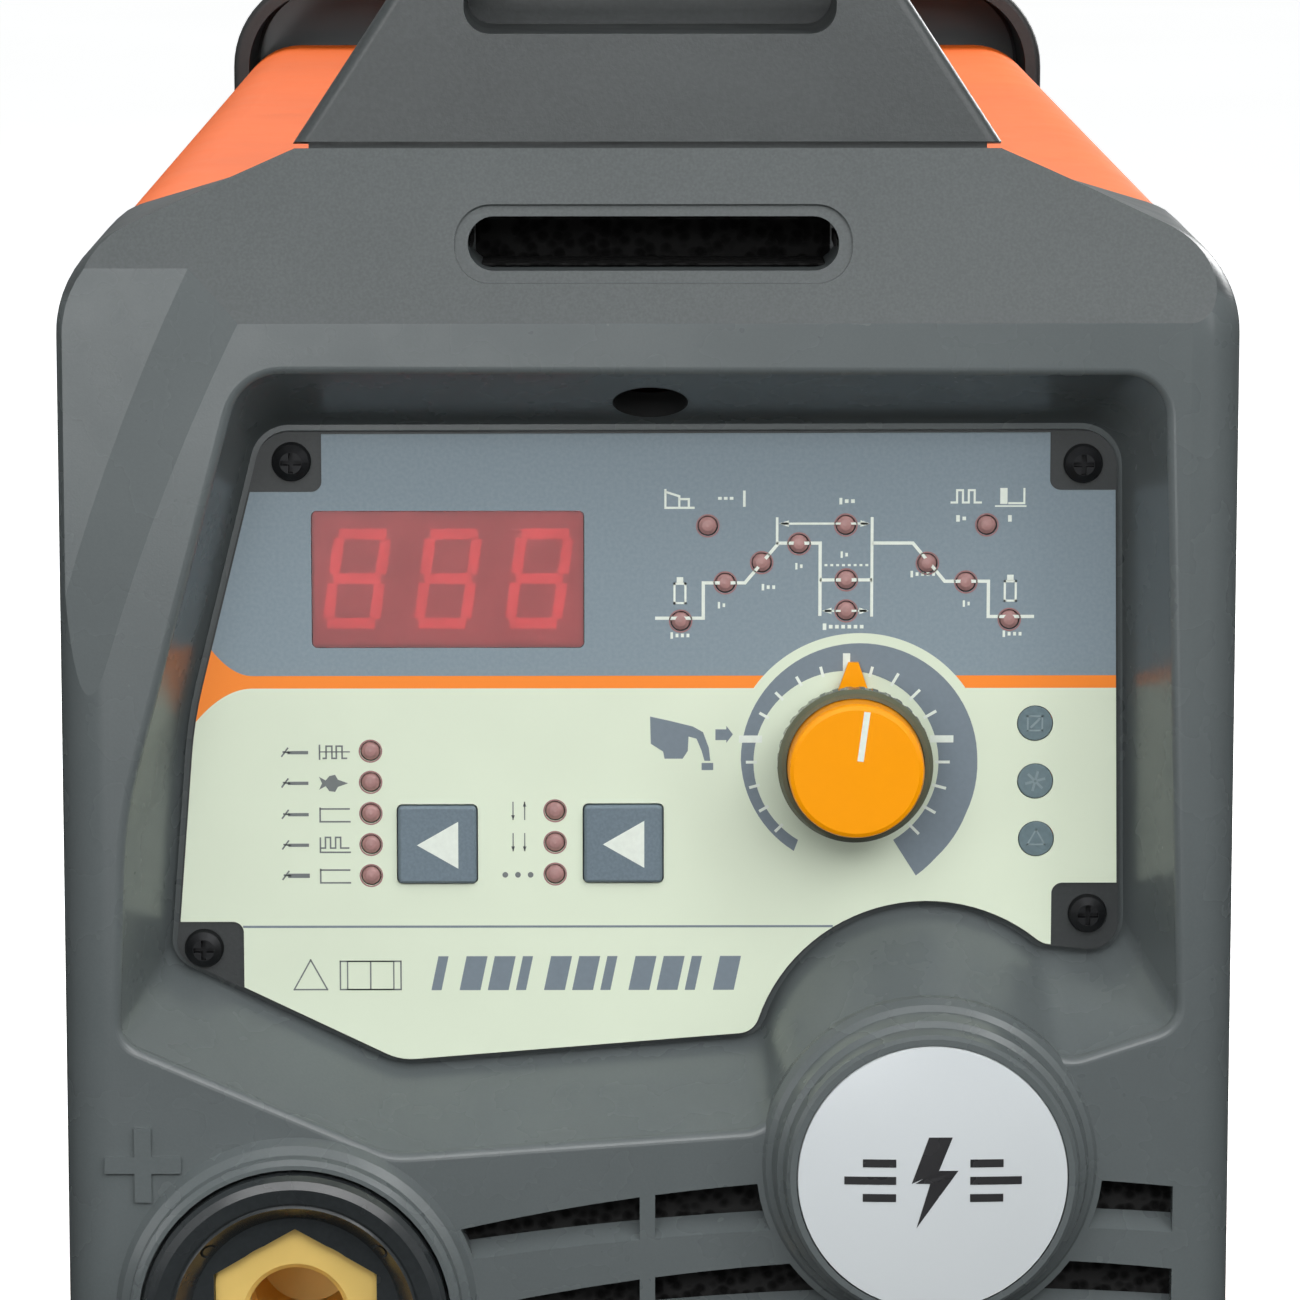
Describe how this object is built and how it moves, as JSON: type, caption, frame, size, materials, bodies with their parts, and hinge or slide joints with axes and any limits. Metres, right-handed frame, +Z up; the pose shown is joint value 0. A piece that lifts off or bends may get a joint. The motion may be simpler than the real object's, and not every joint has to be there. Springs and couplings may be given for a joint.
{
  "type": "tig welding machine",
  "caption": "Portable inverter TIG welding power source with a carrying handle, a recessed control panel, a rotary knob, output sockets, gas fittings and a rear fan.",
  "frame": {"origin": "on the ground, under the middle of the machine's overall box", "axes": "+X to the right seen from the front, +Y from the front to the back, +Z up"},
  "size_m": [0.1618, 0.456, 0.3014],
  "materials": {
    "charcoal_plastic": "fine spark texture",
    "black_plastic": "fine texture",
    "orange_paint": "gloss powder coat",
    "zinc_steel": "zinc plated",
    "grey_paint": "satin powder coat",
    "rubber": "matte",
    "black_steel": "black oxide",
    "printed_film": "printed polycarbonate film",
    "red_lens": "tinted lens",
    "display_black": "potted display",
    "red_led": "diffused lens",
    "smoked_lens": "smoked lens",
    "blue_grey_key": "satin",
    "green_laminate": "solder mask",
    "white_plastic": "plain",
    "smoked_plastic": "fluted",
    "amber_plastic": "satin",
    "silver_disc": "silver lacquer",
    "black_gloss": "semi gloss",
    "brass": "machined",
    "chrome": "plated",
    "red_rocker": "moulded",
    "aluminium": "extruded",
    "capacitor_sleeve": "shrink sleeve",
    "ferrite": "sintered",
    "copper": "enamelled copper",
    "coil_tape": "polyester tape",
    "valve_coil": "encapsulated coil",
    "hose": "polyurethane"
  },
  "bodies": {
    "root": {"badge_disc": "silver_disc", "base_plate": "zinc_steel", "bezel_screws": "black_steel", "board_standoffs": "zinc_steel", "bulk_capacitors": "capacitor_sleeve", "bus_bars": "copper", "cable_gland_body": "black_plastic", "cable_gland_cap": "black_plastic", "case_cover": "orange_paint", "control_board": "green_laminate", "control_socket_insert": "black_gloss", "control_socket_pins": "brass", "control_socket_shell": "chrome", "cover_screws": "black_steel", "display_module": "display_black", "display_window": "red_lens", "earth_stud": "zinc_steel", "encoder_body": "zinc_steel", "fan_frame": "black_plastic", "fan_guard": "chrome", "fan_screws": "black_steel", "fitting_nuts": "zinc_steel", "foot_screws": "zinc_steel", "front_bezel": "charcoal_plastic", "gas_hoses": "hose", "gas_inlet_fitting": "brass", "gas_outlet_fitting": "brass", "gas_valve": "valve_coil", "handle_bolts": "black_steel", "handle_grip": "rubber", "handle_shell": "charcoal_plastic", "heat_sinks": "aluminium", "hf_coil": "coil_tape", "key_switches": "black_plastic", "led_indicators": "red_led", "main_board": "green_laminate", "negative_socket_body": "brass", "negative_socket_flange": "black_gloss", "output_inductor": "copper", "panel_overlay": "printed_film", "panel_plate": "black_plastic", "panel_screws": "black_steel", "positive_socket_body": "brass", "positive_socket_flange": "black_gloss", "power_switch_body": "black_plastic", "rear_bezel": "black_plastic", "rear_plate": "grey_paint", "rubber_feet": "rubber", "socket_nuts": "zinc_steel", "status_lamps": "smoked_lens", "transformer_core": "ferrite", "transformer_winding": "copper"},
    "knob_press": {"encoder_plunger": "white_plastic"},
    "knob": {"encoder_shaft": "zinc_steel", "knob_skirt": "smoked_plastic", "knob_cap": "amber_plastic"},
    "process_key_body": {"process_key": "blue_grey_key"},
    "trigger_key_body": {"trigger_mode_key": "blue_grey_key"},
    "fan": {"fan_rotor": "black_plastic"},
    "rocker": {"power_switch_rocker": "red_rocker"}
  },
  "joints": [
    {"name": "knob_push", "type": "slide", "parent": "root", "child": "knob_press", "axis": [0, 1, 0], "range_m": [0, 0.0005], "stiffness_N_per_m": 6000},
    {"name": "knob_turn", "type": "hinge", "parent": "knob_press", "child": "knob", "pos_m": [0.0282, -0.2, 0.1563], "axis": [0, 1, 0], "continuous": true},
    {"name": "process_key_push", "type": "slide", "parent": "root", "child": "process_key_body", "axis": [0, 1, 0], "range_m": [0, 0.0005], "stiffness_N_per_m": 4000},
    {"name": "trigger_key_push", "type": "slide", "parent": "root", "child": "trigger_key_body", "axis": [0, 1, 0], "range_m": [0, 0.0005], "stiffness_N_per_m": 4000},
    {"name": "fan_spin", "type": "hinge", "parent": "root", "child": "fan", "pos_m": [0, 0.182, 0.086], "axis": [0, 1, 0], "continuous": true},
    {"name": "power_switch_throw", "type": "hinge", "parent": "root", "child": "rocker", "pos_m": [-0.038, 0.1995, 0.19], "axis": [1, 0, 0], "range_deg": [-22, 0]}
  ]
}
